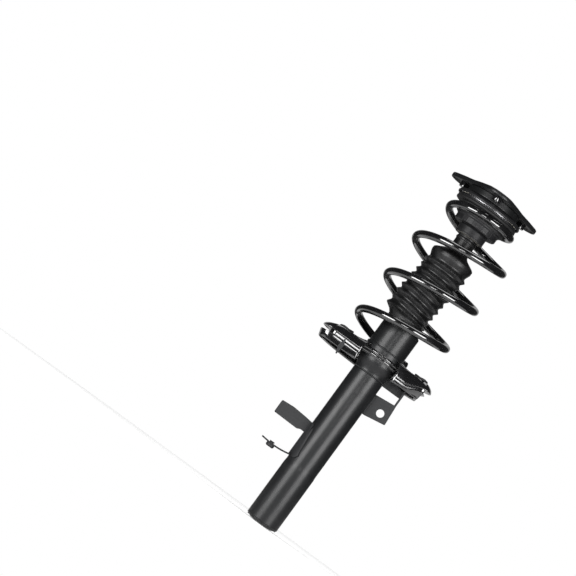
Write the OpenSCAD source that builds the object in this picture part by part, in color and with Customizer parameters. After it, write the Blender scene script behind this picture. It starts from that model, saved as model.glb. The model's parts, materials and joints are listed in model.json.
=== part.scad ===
// Spring strut: a damper, its coil spring and its bearing top mount.
// The damper's axis is Z. Z = 0 is the lower edge of the outer tube, and -Y is the wheel's side.

/* [Outer tube] */
// Radius of the lower stretch that the knuckle clamps
clamp_r = 25.5; // [22:0.1:30.6]
// Length of the clamped stretch
clamp_len = 90; // [60:1:110]
// How much smaller the tube's radius is above the clamped stretch
clamp_relief = 0.5; // [0.3:0.1:1]
// Radius of the wide upper stretch
body_r = 29.5; // [28:0.1:36]
// Length over which the tube widens
flare_len = 20; // [10:1:40]
// Wall of the tube
tube_wall = 2.5; // [1.5:0.1:3.5]
// How far the tube stands above the spring's track
tube_above_seat = 48; // [38:1:70]
// How far the base bulges below the tube's edge
base_dome = 4; // [2:0.5:8]

/* [Damper inside] */
// Radius of the piston rod
rod_r = 11; // [9:0.5:13.5]
// Inside radius of the pressure tube
bore_r = 16; // [15:0.5:20]
// Wall of the pressure tube
pressure_wall = 1.6; // [1:0.1:2.5]
// Running clearance of the rod and the piston band, on the radius
running = 0.03; // [0.02:0.01:0.08]
// Height of the rod guide above the pressure tube's end
guide_h = 18; // [12:1:24]
// Height of the piston
piston_h = 20; // [14:1:28]
// Height of the rubber ring that softens full rebound
rebound_h = 22; // [10:1:30]
// Length of rod that shows between the tube and the bump stop's cup
rod_show = 160; // [140:1:200]
// Radius of the rod's threaded top end
stud_r = 7; // [5:0.5:8]

/* [Lower spring seat] */
// Height of the spring's track on the seat
seat_z = 294; // [240:1:355]
// Radius of the seat
seat_r = 92; // [84:1:112]
// Sheet of the seat
seat_t = 2.6; // [2:0.1:4]
// How far the skirt that is folded down from the seat's edge reaches below the track
skirt_h = 29; // [16:1:36]
// How far the wheel's side of the seat is trimmed to, from the axis
seat_trim = 33; // [32:1:50]
// Tilt of the seat, its +X side up
seat_tilt = 2; // [0:0.5:4]
// Height of the rubber under the spring's lowest turn
pad_t = 2.8; // [1.5:0.1:4]
// Wall of the collar that joins the seat to the tube
collar_t = 1.5; // [1:0.1:3]

/* [Coil spring] */
// Mean radius of the spring's wide turns
coil_r = 66.5; // [60:0.5:70]
// Mean radius of the top turn
coil_top_r = 49; // [46:0.5:56]
// Radius of the spring's wire
wire_r = 5.7; // [4.5:0.1:7]
// Gap between the wire and what it rests on
wire_gap = 0.2; // [0.1:0.1:0.6]
// Lean of the middle turns, in degrees
coil_lean = 2.4; // [0:0.1:4]

/* [Dust boot and bump stop] */
// Radius of the boot's folds
boot_r = 35; // [33:0.5:38]
// Depth of a fold
fold_d = 4.5; // [3:0.5:5.5]
// Number of folds
folds = 9; // [6:1:12]
// Wall of the boot
boot_t = 1.3; // [1:0.1:2]
// Radius of the bump stop's body
stop_r = 20.5; // [17:0.5:22]
// How far the bump stop reaches below its cup
stop_drop = 46; // [40:1:52]
// Radius of the striker cap on the tube
striker_r = 27; // [22:0.5:27]

/* [Upper seat and bearing] */
// Outside radius of the cup that holds the bump stop
cup_r = 22.8; // [21:0.1:27]
// Height of that cup
cup_h = 14; // [10:1:18]
// Height from the upper seat's foot to the spring's top
spigot_h = 26.3; // [20:0.1:32]
// Radius of the upper seat's flange
flange_r = 50; // [48:0.5:60]
// Radius of the ball circle in the bearing
race_r = 43; // [42:0.5:45]
// Radius of a bearing ball
ball_r = 1.75; // [1.5:0.05:1.9]
// Number of bearing balls
balls = 32; // [24:1:36]

/* [Top mount] */
// Radius of the bearing's cover
cover_r = 52.8; // [51:0.1:64]
// Radius of the can that holds the mount's rubber
can_r = 42.6; // [40:0.1:44]
// Height of that can
can_h = 11.5; // [8:0.5:20]
// Sheet of the mount plate
plate_t = 4.5; // [3:0.5:8]
// Diameter of the circle that the body bolts stand on
bolt_pcd = 115; // [110:1:140]
// Radius of each lobe of the mount plate
lobe_r = 24; // [20:0.5:28]
// Radius of the threads in the weld nuts
bolt_r = 4; // [3:0.5:5]

/* [Link bracket] */
// Radius of the hole for the anti-roll bar link
link_r = 6; // [5:0.1:8]
// Distance of that hole from the damper's axis
link_x = 45.7; // [44:0.1:50]
// Distance of that hole below the spring's track
link_drop = 70; // [58:1:84]
// Sheet of the link bracket
link_t = 4; // [3:0.5:6]

/* [Hose bracket] */
// Height of the middle of the hose bracket
hose_z = 129; // [122:1:170]
// How far its flag reaches from the axis
hose_reach = 78.5; // [60:0.5:90]
// Sheet of the hose bracket
hose_t = 2.2; // [1.5:0.1:3]
// Radius of the button under its leaf
button_r = 6.5; // [5:0.5:8]

/* [Hidden] */
$fn = 96;

// Outer tube
tube_len = seat_z + tube_above_seat;
low_r = clamp_r - clamp_relief;
low_in = low_r - tube_wall;
body_in = body_r - tube_wall;
flare_top = seat_z - 14;
neck_z = flare_top - flare_len;
roll_t = 2.5;
roll_in = striker_r - 6;
groove_d = 0.6;

// Inside the damper
cup_floor = 3;
cup_wall_h = 12;
foot_h = 7;
foot_z = cup_floor + foot_h;
plug_h = 10;
pressure_r = bore_r + pressure_wall;
seal_h = 7.5;
spigot_in = 6;
guide_z = tube_len - roll_t - seal_h - guide_h - spigot_in;
bush_t = 1.6;
bush_r = rod_r + running + bush_t;
stop_ring_h = 4;
rebound_gap = 0.5;
rebound_z = guide_z - rebound_gap - rebound_h;
piston_top = rebound_z - stop_ring_h;
piston_z = piston_top - piston_h;
post_r = rod_r / 2;
nut_h = 8;
nut_r = post_r + 4;
band_t = 1.3;

// Striker cap
striker_h = 10;
striker_wall = 2.5;
striker_z = tube_len + striker_h;

// Lower seat, in heights from the spring's track
track_in = coil_r - 10;
track_out = coil_r + 10;
collar_r = body_r + collar_t;
collar_low = -13;
collar_high = 6;
crown = 5;
rim_drop = 4.5;
front_gap = collar_r + 1.5;

// Upper stack
head_z = tube_len + rod_show;
foot2_z = head_z + cup_h;
iso_z = foot2_z + spigot_h;
iso_t = 4.3;
flange_z = iso_z + iso_t;
flange_t = 2.4;
race_z = flange_z + flange_t;
race_t = 2;
race_w = 4.5;
race_gap = 0.1;
ball_z = race_z + 3;
cover_z = race_z + 6;
cover_t = 1.5;
can_z = cover_z + cover_t;
can_t = 2;
plate_z = can_z + can_h;
sleeve_r = stud_r + 7;
stud_gap = 0.1;
shoulder_z = cover_z - 2;
washer_t = 2.5;
washer_r = sleeve_r + 8;
rod_nut_h = 8.5;
iso_r = coil_top_r - wire_r - 3.2;
seat_wall_r = iso_r - 3.6;
plate_hole_r = washer_r + 8;
pilot_r = bolt_r + 2.5;
weld_nut_h = 7;
lobe_d = bolt_pcd / 2;

// Bump stop and boot, with the clearances between the boot and what it is pulled over
cuff_gap = 0.1;
neck_gap = 0.4;
stop_bore = rod_r + 0.4;
waist_r = rod_r + 2.7;
neck_r = waist_r + cuff_gap + boot_t + neck_gap;
cup_wall = 1.3;
boot_low = tube_len + 2;
boot_fold_z = striker_z + 7;
boot_fold_top = head_z - 46;
boot_neck_z = head_z - 26;

// Spring's wire: its turns are counted in degrees from the +X side
wire_start = 58;
wire_end = 1498;
climb_start = 30;
climb_end = 1397;
ease_in = 90;
ease_out = 157;
wire_sides = 16;
wire_step = 10;
pad_rise = track_out * cos(wire_start) * sin(seat_tilt);
wire_low = seat_z + pad_rise + pad_t + wire_gap + wire_r;
wire_high = iso_z - wire_gap - wire_r;

// Where the wire narrows to its top turn, and how far the wide turns stand off the axis
narrow_start = 1060;
narrow_over = 200;
wire_off = 4.3;

// Link bracket, in heights from the link's hole
link_z = seat_z - link_drop;
tab_low = -15.5;
tab_high = 18;
tab_reach = 15;
web_low = 12;
web_h = 38;
web_w = 16;
web_t = 3;
arm_low = 34;
arm_h = 14;

// Hose bracket, in heights from its middle
saddle_low = -29;
saddle_high = 27;
leaf_low = -31;
leaf_w = 18;
button_h = 6;
button_x = (hose_reach + low_r) / 2 + 3;

// The clip on the front of the seat
clip_h = 24;
clip_w = 8;

// The share of the climb that the wire has made at an angle, gentle at both ends
function climb(a) =
    let (x = a - climb_start,
         whole = climb_end - climb_start,
         steady = whole - ease_in / 2 - ease_out / 2)
    x <= 0 ? 0 :
    x >= whole ? 1 :
    x < ease_in ? x * x / (2 * ease_in * steady) :
    x > whole - ease_out ? 1 - (whole - x) * (whole - x) / (2 * ease_out * steady) :
    (x - ease_in / 2) / steady;

function smooth(u) = u <= 0 ? 0 : u >= 1 ? 1 : u * u * (3 - 2 * u);

// The wire's middle at an angle along it
function wire_radius(a) = coil_r + (coil_top_r - coil_r) * smooth((a - narrow_start) / narrow_over);
function wire_lean(a) = smooth(a / 180) * (1 - smooth((a - narrow_start) / narrow_over));
function wire_shift(a) =
    wire_off * smooth(a / narrow_start) * (1 - smooth((a - narrow_start) / narrow_over));
function wire_point(a) = [
    wire_radius(a) * cos(a) + wire_shift(a),
    wire_radius(a) * sin(a),
    wire_low + (wire_high - wire_low) * climb(a)
        - wire_radius(a) * cos(a) * tan(coil_lean) * wire_lean(a)
];

// One ring of the wire's skin, square to the way it runs
function wire_ring(a) =
    let (p = wire_point(a),
         q = wire_point(a + 1) - wire_point(a - 1),
         way = q / norm(q),
         side = [cos(a), sin(a), 0],
         out = (side - way * (side * way)) / norm(side - way * (side * way)),
         up = cross(way, out))
    [for (i = [0 : wire_sides - 1])
        p + wire_r * (cos(360 * i / wire_sides) * out + sin(360 * i / wire_sides) * up)];

// Points along the flare, from the narrow radius to the wide one
function flare(low, high) =
    [for (i = [0 : 8]) [
        low + (high - low) * (1 - cos(180 * i / 8)) / 2,
        neck_z + flare_len * i / 8
    ]];

function reversed(list) = [for (i = [len(list) - 1 : -1 : 0]) list[i]];

// The mount plate's outline: three lobes and the straight sides between them
function lobed(reach, r) =
    [for (k = [0 : 2], i = [-6 : 6])
        let (mid = -90 + 120 * k)
        [reach * cos(mid) + r * cos(mid + 10 * i), reach * sin(mid) + r * sin(mid + 10 * i)]];

module reservoir_tube() {
    color("#17181a")
        rotate_extrude()
            polygon(concat(
                [[clamp_r, 0],
                 [clamp_r, clamp_len],
                 [low_r, clamp_len + clamp_relief],
                 [low_r, neck_z - 3 * groove_d],
                 [low_r - groove_d, neck_z - 2 * groove_d],
                 [low_r - groove_d, neck_z - groove_d]],
                flare(low_r, body_r),
                [[body_r, tube_len - 2],
                 [body_r - 0.6, tube_len - 0.6],
                 [body_r - 2, tube_len],
                 [roll_in, tube_len],
                 [roll_in, tube_len - roll_t],
                 [body_in, tube_len - roll_t]],
                reversed(flare(low_in, body_in)),
                [[low_in, 0]]
            ));
}

module base_cup() {
    color("#1b1c1e")
        rotate_extrude()
            polygon([
                [0, -base_dome],
                [low_in * 0.6, -base_dome],
                [low_in * 0.82, -base_dome * 0.75],
                [low_in * 0.94, -base_dome * 0.35],
                [low_in, 0],
                [low_in, cup_wall_h],
                [pressure_r + 1, cup_wall_h],
                [pressure_r + 1, cup_floor],
                [0, cup_floor]
            ]);
}

module base_valve() {
    color("#8d8f92")
        rotate_extrude()
            polygon([
                [4, cup_floor],
                [pressure_r, cup_floor],
                [pressure_r, foot_z],
                [bore_r, foot_z],
                [bore_r, foot_z + plug_h],
                [4, foot_z + plug_h]
            ]);
}

module pressure_tube() {
    color("#a3a5a8")
        translate([0, 0, foot_z])
            difference() {
                cylinder(r = pressure_r, h = guide_z + spigot_in - foot_z);
                translate([0, 0, -1])
                    cylinder(r = bore_r, h = guide_z + spigot_in - foot_z + 2);
            }
}

module rod_guide() {
    color("#77797c")
        rotate_extrude()
            polygon([
                [bush_r, guide_z],
                [bore_r, guide_z],
                [bore_r, guide_z + spigot_in],
                [body_in, guide_z + spigot_in],
                [body_in, guide_z + spigot_in + guide_h],
                [bush_r, guide_z + spigot_in + guide_h]
            ]);
}

module rod_guide_bush() {
    color("#9a7b4a")
        rotate_extrude()
            polygon([
                [rod_r + running, guide_z + 1],
                [bush_r, guide_z + 1],
                [bush_r, guide_z + spigot_in + guide_h - 1],
                [rod_r + running, guide_z + spigot_in + guide_h - 1]
            ]);
}

module oil_seal() {
    color("#202124")
        translate([0, 0, tube_len - roll_t - seal_h])
            rotate_extrude()
                polygon([
                    [rod_r + 2.5, 0],
                    [body_in, 0],
                    [body_in, seal_h],
                    [rod_r + 2.5, seal_h],
                    [rod_r + running, seal_h - 1.5],
                    [rod_r + running, seal_h - 2.5],
                    [rod_r + 1.2, seal_h - 3.5],
                    [rod_r + 1.2, 3],
                    [rod_r + running, 2.5],
                    [rod_r + running, 1.5]
                ]);
}

module striker_cap() {
    color("#2a2b2e")
        translate([0, 0, tube_len])
            rotate_extrude()
                polygon([
                    [striker_r - striker_wall, 0],
                    [striker_r, 0],
                    [striker_r, striker_h - 1],
                    [striker_r - 1, striker_h],
                    [rod_r + 1.5, striker_h],
                    [rod_r + 1.5, striker_h - striker_wall],
                    [striker_r - striker_wall, striker_h - striker_wall]
                ]);
}

// Places a shape on the tilted seat, with its track at height 0
module on_seat() {
    translate([0, 0, seat_z])
        rotate([0, -seat_tilt, 0])
            children();
}

// The seat's upper skin from the collar out to the fold
function seat_top() = [
    [body_r, crown],
    [track_in - 10, 1],
    [track_in, 0],
    [track_out, 0],
    [seat_r - 6, 1.5 - rim_drop],
    [seat_r - 1.5, -rim_drop],
    [seat_r, -rim_drop - 2]
];

module seat_sheet() {
    rotate_extrude()
        polygon(concat(
            seat_top(),
            [[seat_r, -skirt_h],
             [seat_r - seat_t, -skirt_h],
             [seat_r - seat_t, -rim_drop - 2 - seat_t / 2],
             [seat_r - 6 - seat_t / 3, 1.5 - rim_drop - seat_t],
             [track_out - seat_t / 3, -seat_t],
             [track_in, -seat_t],
             [track_in - 10, 1 - seat_t],
             [body_r, crown - seat_t]]
        ));
}

module seat_block() {
    rotate_extrude()
        polygon(concat(seat_top(), [[seat_r, -skirt_h], [body_r, -skirt_h]]));
}

module lower_spring_seat() {
    color("#0e0f10")
        difference() {
            on_seat() {
                intersection() {
                    seat_sheet();
                    translate([-2 * seat_r, -seat_trim, -seat_r])
                        cube([4 * seat_r, 4 * seat_r, 2 * seat_r]);
                }
                intersection() {
                    seat_block();
                    translate([-2 * seat_r, -seat_trim, -seat_r])
                        cube([4 * seat_r, seat_t, 2 * seat_r]);
                }
            }
            cylinder(r = collar_r, h = 2 * tube_len);
            translate([-front_gap, -seat_r, seat_z - seat_r])
                cube([2 * front_gap, seat_r - body_r / 2, 2 * seat_r]);
        }
}

module seat_collar() {
    color("#0e0f10")
        translate([0, 0, seat_z])
            rotate_extrude() {
                difference() {
                    translate([body_r, collar_low])
                        square([collar_t, collar_high - collar_low]);
                    translate([collar_r, collar_high])
                        rotate(45)
                            square(collar_t, center = true);
                }
                intersection() {
                    for (z = [-9, -4.6])
                        translate([collar_r - 0.5, z])
                            circle(r = 1.8, $fn = 32);
                    translate([body_r, collar_low])
                        square([10, collar_high]);
                }
            }
}

module seat_clip() {
    color("#121315")
        on_seat()
            translate([-coil_r * 0.86, -seat_trim, 3 - skirt_h])
                rotate([90, 0, 0])
                    linear_extrude(seat_t)
                        polygon([
                            [-clip_w / 8, clip_h / 2],
                            [clip_w / 5, clip_h / 2],
                            [clip_w / 2, clip_h / 8],
                            [clip_w / 8, -clip_h / 2],
                            [-clip_w / 16, -clip_h / 2],
                            [-clip_w / 2, clip_h / 24]
                        ]);
}

module lower_isolator() {
    color("#1d1d1e")
        on_seat()
            intersection() {
                difference() {
                    cylinder(r = track_out - 1, h = pad_t);
                    translate([0, 0, -1])
                        cylinder(r = track_in + 1, h = pad_t + 2);
                }
                translate([-2 * seat_r, -seat_trim + 1, -1])
                    cube([4 * seat_r, 4 * seat_r, 10]);
            }
}

module link_bracket() {
    color("#2c2d30")
        difference() {
            union() {
                // The tab that takes the link
                translate([0, link_t / 2, link_z])
                    rotate([90, 0, 0])
                        linear_extrude(link_t)
                            polygon([
                                [low_r - 2, tab_low],
                                [low_r + 3, tab_low],
                                [link_x + tab_reach, tab_low + 5.5],
                                [link_x + tab_reach - 2.5, tab_high + 3.5],
                                [low_r - 2, tab_high]
                            ]);
                // The web that ties the tab to the arm
                translate([link_x + tab_reach - 2.5 - web_t, link_t / 2, link_z + web_low])
                    cube([web_t, web_w, web_h]);
                // The arm under the seat
                translate([0, link_t / 2 + web_w, link_z + arm_low])
                    rotate([90, 0, 0])
                        linear_extrude(link_t)
                            polygon([
                                [low_r / 2, 0],
                                [link_x + tab_reach - 2.5, 0],
                                [link_x + tab_reach - 2.5, arm_h - 4],
                                [link_x - 8, arm_h],
                                [low_r / 2, arm_h]
                            ]);
            }
            cylinder(r = low_r, h = neck_z);
            translate([0, 0, neck_z])
                cylinder(r = body_r, h = flare_len + 20);
            translate([link_x, 0, link_z])
                rotate([90, 0, 0])
                    cylinder(r = link_r, h = 4 * link_t, center = true);
        }
}

module hose_bracket() {
    color("#2c2d30")
        difference() {
            union() {
                // The saddle on the tube
                intersection() {
                    translate([0, 0, hose_z + saddle_low])
                        cylinder(r = low_r + hose_t, h = saddle_high - saddle_low);
                    rotate([90, 0, 0])
                        linear_extrude(2 * low_r)
                            polygon([
                                [-2 * low_r, hose_z + saddle_low],
                                [-low_r * 0.5, hose_z + saddle_low],
                                [-low_r * 0.45, hose_z + saddle_low + 7],
                                [-low_r * 0.8, hose_z + saddle_high],
                                [-2 * low_r, hose_z + saddle_high]
                            ]);
                }
                // The flag
                translate([0, -hose_t, hose_z])
                    rotate([90, 0, 0])
                        linear_extrude(hose_t)
                            polygon([
                                [-hose_reach, 8],
                                [-low_r - 12, 7],
                                [-low_r - 8, 9],
                                [-low_r + 1, 9],
                                [-low_r + 1, saddle_high],
                                [-low_r - 12, saddle_high + 1],
                                [-hose_reach * 0.75, 30],
                                [-hose_reach, 28.5]
                            ]);
                // The leaf
                translate([-hose_reach + 7, -leaf_w, hose_z + leaf_low])
                    cube([hose_reach - low_r - 5, leaf_w, hose_t]);
            }
            cylinder(r = low_r, h = neck_z);
            translate([-button_x, -leaf_w / 2, hose_z + leaf_low - hose_t])
                cylinder(r = button_r / 2, h = 3 * hose_t, $fn = 48);
        }
}

module hose_button() {
    color("#3a3b3e")
        translate([-button_x, -leaf_w / 2, hose_z + leaf_low])
            rotate_extrude($fn = 48)
                polygon([
                    [0, -button_h],
                    [button_r - 1, -button_h],
                    [button_r, 1 - button_h],
                    [button_r, 0],
                    [button_r / 2, 0],
                    [button_r / 2, hose_t],
                    [button_r / 2 + 1, hose_t],
                    [button_r / 2, hose_t + 1],
                    [0, hose_t + 1]
                ]);
}

module coil_spring() {
    rings = (wire_end - wire_start) / wire_step;
    points = [for (k = [0 : rings]) each wire_ring(wire_start + k * wire_step)];
    skin = [for (k = [0 : rings - 1], i = [0 : wire_sides - 1])
        let (a = k * wire_sides + i,
             b = k * wire_sides + (i + 1) % wire_sides)
        each [[a, b, b + wire_sides], [a, b + wire_sides, a + wire_sides]]];
    start = [for (i = [wire_sides - 1 : -1 : 0]) i];
    finish = [for (i = [0 : wire_sides - 1]) floor(rings) * wire_sides + i];
    color("#0b0c0d")
        polyhedron(points, concat(skin, [start, finish]));
}

module dust_boot() {
    pitch = (boot_fold_top - boot_fold_z) / folds;
    outside = concat(
        [[striker_r + cuff_gap + boot_t, boot_low],
         [striker_r + cuff_gap + boot_t, striker_z - 2]],
        [for (k = [0 : folds - 1]) each [
            [boot_r, boot_fold_z + k * pitch],
            [boot_r - fold_d, boot_fold_z + (k + 0.5) * pitch]
        ]],
        [[boot_r - 1, boot_fold_top + 3],
         [boot_r - 1, boot_fold_top + 9],
         [neck_r + 2, boot_neck_z - 2],
         [neck_r, boot_neck_z],
         [neck_r, head_z - 0.4]]
    );
    inside = [for (p = reversed(outside)) [p[0] - boot_t, p[1]]];
    color("#222224")
        rotate_extrude()
            polygon(concat(outside, inside));
}

module bump_stop() {
    low = head_z - stop_drop;
    color("#3a3834")
        rotate_extrude()
            polygon([
                [stop_bore, low],
                [waist_r, low],
                [stop_r - 3, low + 3],
                [stop_r - 2, low + 7],
                [stop_r - 4, low + 9],
                [stop_r, low + 11],
                [stop_r, low + 13],
                [waist_r, low + 15],
                [waist_r, head_z],
                [cup_r - cup_wall - 2, head_z],
                [cup_r - cup_wall, head_z + 2],
                [cup_r - cup_wall, head_z + cup_h - cup_wall],
                [stop_bore, head_z + cup_h - cup_wall]
            ]);
}

module bump_stop_cup() {
    color("#26272a")
        translate([0, 0, head_z])
            rotate_extrude()
                polygon([
                    [cup_r - cup_wall, 0],
                    [cup_r, 0],
                    [cup_r, cup_h - 1],
                    [cup_r - 1, cup_h],
                    [rod_r + 2, cup_h],
                    [rod_r + 2, cup_h - cup_wall],
                    [cup_r - cup_wall, cup_h - cup_wall]
                ]);
}

module upper_spring_seat() {
    color("#1a1b1c")
        rotate_extrude()
            polygon([
                [rod_r + 3, foot2_z],
                [seat_wall_r - 2.5, foot2_z],
                [seat_wall_r - 2, foot2_z + 8],
                [seat_wall_r, foot2_z + 10],
                [seat_wall_r, flange_z],
                [flange_r, flange_z],
                [flange_r, race_z],
                [seat_wall_r - 3, race_z],
                [seat_wall_r - 3, foot2_z + 11],
                [seat_wall_r - 5, foot2_z + 9],
                [seat_wall_r - 5.5, foot2_z + 3],
                [rod_r + 3, foot2_z + 3]
            ]);
}

module upper_isolator() {
    color("#232325")
        rotate_extrude()
            polygon([
                [seat_wall_r, foot2_z + 11],
                [iso_r - 1.5, foot2_z + 11],
                [iso_r, foot2_z + 12.5],
                [iso_r, iso_z],
                [flange_r - 0.5, iso_z],
                [flange_r + 0.3, iso_z + 1],
                [flange_r + 0.3, flange_z],
                [seat_wall_r, flange_z]
            ]);
}

module race_groove() {
    translate([0, 0, ball_z])
        rotate_extrude()
            translate([race_r, 0])
                circle(r = ball_r + race_gap, $fn = 48);
}

module bearing_lower_race() {
    color("#b4b6b9")
        difference() {
            rotate_extrude()
                translate([race_r - race_w, race_z])
                    square([2 * race_w, race_t]);
            race_groove();
        }
}

module bearing_upper_race() {
    color("#b4b6b9")
        difference() {
            rotate_extrude()
                translate([race_r - race_w, cover_z - race_t])
                    square([2 * race_w, race_t]);
            race_groove();
        }
}

module bearing_cage() {
    color("#d8d4c4")
        difference() {
            rotate_extrude()
                translate([race_r - 2.5, ball_z - 0.6])
                    square([5, 1.2]);
            for (k = [0 : balls - 1])
                rotate(360 * k / balls)
                    translate([race_r, 0, ball_z - 2])
                        cylinder(r = ball_r + race_gap, h = 4, $fn = 32);
        }
}

module bearing_balls() {
    color("#c9cbce")
        for (k = [0 : balls - 1])
            rotate(360 * k / balls)
                translate([race_r, 0, ball_z])
                    sphere(r = ball_r, $fn = 32);
}

module bearing_cover() {
    color("#17181a")
        rotate_extrude()
            polygon([
                [race_r - race_w - 6, cover_z],
                [race_r + race_w + 3, cover_z],
                [cover_r - 1.8, cover_z - 1],
                [cover_r - 1.8, race_z + 1.5],
                [cover_r, race_z + 1.5],
                [cover_r, can_z - 1],
                [cover_r - 1, can_z],
                [race_r - race_w - 6, can_z]
            ]);
}

module mount_can() {
    color("#1b1c1e")
        rotate_extrude()
            polygon([
                [sleeve_r + 5, can_z],
                [can_r - 1.5, can_z],
                [can_r, can_z + 1.5],
                [can_r, plate_z],
                [can_r - can_t, plate_z],
                [can_r - can_t, can_z + can_t],
                [sleeve_r + 5, can_z + can_t]
            ]);
}

module mount_rubber() {
    color("#202022")
        rotate_extrude()
            polygon([
                [sleeve_r, can_z + can_t],
                [can_r - can_t, can_z + can_t],
                [can_r - can_t, plate_z - 1],
                [can_r - can_t - 4, plate_z - 1],
                [can_r - can_t - 9, plate_z - 4],
                [sleeve_r + 6, plate_z - 4],
                [sleeve_r, plate_z - 1]
            ]);
}

module mount_sleeve() {
    color("#8b8d90")
        rotate_extrude()
            polygon([
                [stud_r + stud_gap, shoulder_z],
                [sleeve_r, shoulder_z],
                [sleeve_r, plate_z],
                [stud_r + stud_gap, plate_z]
            ]);
}

module clamp_washer() {
    color("#9fa1a4")
        rotate_extrude()
            polygon([
                [stud_r + stud_gap, plate_z],
                [washer_r, plate_z],
                [washer_r, plate_z + washer_t],
                [stud_r + stud_gap, plate_z + washer_t]
            ]);
}

module mount_plate() {
    color("#141517")
        translate([0, 0, plate_z])
            difference() {
                linear_extrude(plate_t)
                    polygon(lobed(lobe_d, lobe_r));
                translate([0, 0, -1])
                    cylinder(r = plate_hole_r, h = plate_t + 2);
                for (k = [0 : 2])
                    rotate(-90 + 120 * k)
                        translate([lobe_d, 0, -1])
                            cylinder(r = pilot_r, h = plate_t + 2);
            }
}

module weld_nuts() {
    color("#5e6063")
        for (k = [0 : 2])
            rotate(-90 + 120 * k)
                translate([lobe_d, 0, plate_z - weld_nut_h])
                    difference() {
                        union() {
                            cylinder(r = bolt_r * 2, h = weld_nut_h, $fn = 6);
                            cylinder(r = pilot_r, h = weld_nut_h + plate_t - 0.3);
                        }
                        translate([0, 0, -1])
                            cylinder(r = bolt_r, h = weld_nut_h + plate_t + 2);
                    }
}

module rod_nut() {
    color("#a6a8ab")
        translate([0, 0, plate_z + washer_t])
            difference() {
                cylinder(r = stud_r * 1.78, h = rod_nut_h, $fn = 6);
                translate([0, 0, -1])
                    cylinder(r = stud_r, h = rod_nut_h + 2);
            }
}

module piston_rod() {
    color("#d6d8da")
        rotate_extrude()
            polygon([
                [0, piston_z - nut_h - 2],
                [post_r, piston_z - nut_h - 2],
                [post_r, piston_top],
                [rod_r, piston_top],
                [rod_r, shoulder_z],
                [stud_r, shoulder_z],
                [stud_r, plate_z + washer_t + rod_nut_h + 1.5],
                [stud_r - 1, plate_z + washer_t + rod_nut_h + 2.5],
                [0, plate_z + washer_t + rod_nut_h + 2.5]
            ]);
}

module rebound_bumper() {
    color("#2b2b2d")
        translate([0, 0, rebound_z])
            rotate_extrude()
                polygon([
                    [rod_r, 0],
                    [bore_r - 1, 0],
                    [bore_r - 1, rebound_h - 3],
                    [bore_r - 2, rebound_h],
                    [rod_r, rebound_h]
                ]);
}

module rebound_stop() {
    color("#7d7f82")
        translate([0, 0, piston_top])
            difference() {
                cylinder(r = bore_r - 0.8, h = stop_ring_h);
                translate([0, 0, -1])
                    cylinder(r = rod_r, h = stop_ring_h + 2);
            }
}

module piston() {
    color("#85878a")
        rotate_extrude()
            polygon([
                [post_r, piston_z],
                [bore_r - 0.4, piston_z],
                [bore_r - 0.4, piston_z + 4],
                [bore_r - running - band_t, piston_z + 4],
                [bore_r - running - band_t, piston_top - 4],
                [bore_r - 0.4, piston_top - 4],
                [bore_r - 0.4, piston_top],
                [post_r, piston_top]
            ]);
}

module piston_band() {
    color("#2e3033")
        rotate_extrude()
            translate([bore_r - running - band_t, piston_z + 4])
                square([band_t, piston_h - 8]);
}

module piston_nut() {
    color("#9b9da0")
        translate([0, 0, piston_z - nut_h])
            difference() {
                cylinder(r = nut_r, h = nut_h, $fn = 6);
                translate([0, 0, -1])
                    cylinder(r = post_r, h = nut_h + 2);
            }
}

reservoir_tube();
base_cup();
base_valve();
pressure_tube();
rod_guide();
rod_guide_bush();
oil_seal();
striker_cap();
lower_spring_seat();
seat_collar();
seat_clip();
lower_isolator();
link_bracket();
hose_bracket();
hose_button();
coil_spring();
dust_boot();
bump_stop();
bump_stop_cup();
upper_spring_seat();
upper_isolator();
bearing_lower_race();
bearing_cage();
bearing_balls();
bearing_upper_race();
bearing_cover();
mount_can();
mount_rubber();
mount_sleeve();
clamp_washer();
mount_plate();
weld_nuts();
rod_nut();
piston_rod();
rebound_bumper();
rebound_stop();
piston();
piston_band();
piston_nut();
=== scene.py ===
import functools
import json
import math

import bmesh
import bpy
from mathutils import Matrix, Vector, noise


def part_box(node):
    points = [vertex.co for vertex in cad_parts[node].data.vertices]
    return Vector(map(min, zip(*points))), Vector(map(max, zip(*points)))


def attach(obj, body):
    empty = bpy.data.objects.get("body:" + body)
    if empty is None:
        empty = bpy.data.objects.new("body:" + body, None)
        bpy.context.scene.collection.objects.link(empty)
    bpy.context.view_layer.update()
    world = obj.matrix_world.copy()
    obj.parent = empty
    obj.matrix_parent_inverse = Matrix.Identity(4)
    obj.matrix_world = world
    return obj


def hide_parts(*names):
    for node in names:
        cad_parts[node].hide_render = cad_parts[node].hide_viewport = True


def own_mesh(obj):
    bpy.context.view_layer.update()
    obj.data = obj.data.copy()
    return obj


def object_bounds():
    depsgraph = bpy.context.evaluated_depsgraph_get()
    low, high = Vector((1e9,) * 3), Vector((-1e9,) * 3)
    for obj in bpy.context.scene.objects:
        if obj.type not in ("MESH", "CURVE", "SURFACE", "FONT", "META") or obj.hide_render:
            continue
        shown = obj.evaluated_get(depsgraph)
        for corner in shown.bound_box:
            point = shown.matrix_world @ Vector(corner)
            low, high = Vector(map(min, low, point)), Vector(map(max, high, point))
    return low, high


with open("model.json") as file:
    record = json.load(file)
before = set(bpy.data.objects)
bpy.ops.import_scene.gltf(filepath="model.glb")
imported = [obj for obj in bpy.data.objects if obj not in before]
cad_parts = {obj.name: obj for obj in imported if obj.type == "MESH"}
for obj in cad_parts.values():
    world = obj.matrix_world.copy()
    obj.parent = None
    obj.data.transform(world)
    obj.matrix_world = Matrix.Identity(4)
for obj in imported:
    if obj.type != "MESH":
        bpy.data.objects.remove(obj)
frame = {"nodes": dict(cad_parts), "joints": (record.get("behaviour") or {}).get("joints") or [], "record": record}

cad_low, cad_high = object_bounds()
MM = 0.001
TURN = 2 * math.pi


# Sizes: most come from the frame, the others are this strut's own

@functools.lru_cache(None)
def box(node):
    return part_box(node)


def foot(node):
    return box(node)[0].z


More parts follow.
